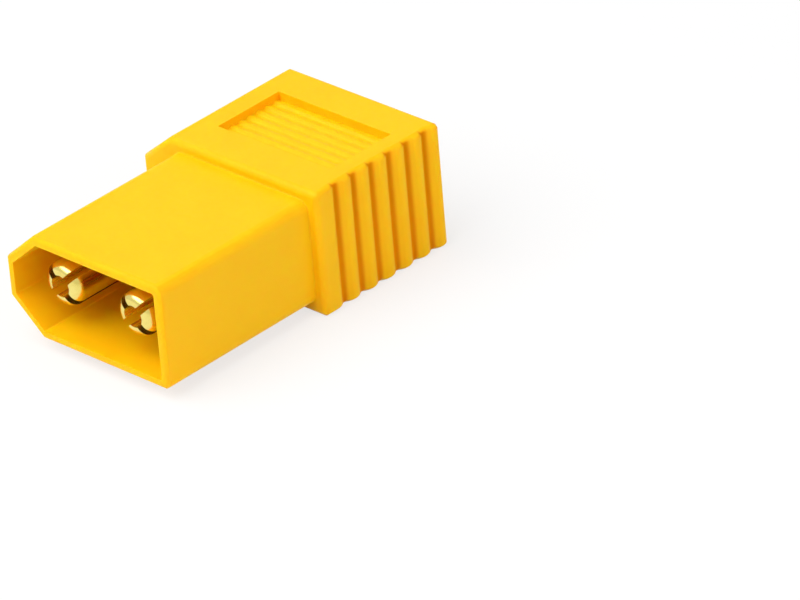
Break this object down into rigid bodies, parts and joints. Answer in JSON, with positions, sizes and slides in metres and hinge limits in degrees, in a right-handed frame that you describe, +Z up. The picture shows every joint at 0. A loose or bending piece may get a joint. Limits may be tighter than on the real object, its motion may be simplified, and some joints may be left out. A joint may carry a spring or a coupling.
{
  "type": "battery connector adapter",
  "caption": "Battery connector adapter: a keyed shroud with split bullet contacts at one end, and pins in a square and a D-shaped socket at the other, in a ribbed yellow housing.",
  "frame": {"origin": "middle of the part's length and width, at the underside of its block", "axes": "+Z up, +Y along the part from the mouth of the shroud towards the socket face, +X towards the flat side with the square socket"},
  "size_m": [0.0174, 0.0278, 0.01],
  "materials": {
    "nylon": "satin moulded nylon with a fine grain",
    "contact": "polished, gold plated"
  },
  "bodies": {
    "root": {"housing": "nylon", "bullet_left": "contact", "bullet_right": "contact", "socket_pin_left": "contact", "socket_pin_right": "contact"}
  },
  "joints": []
}
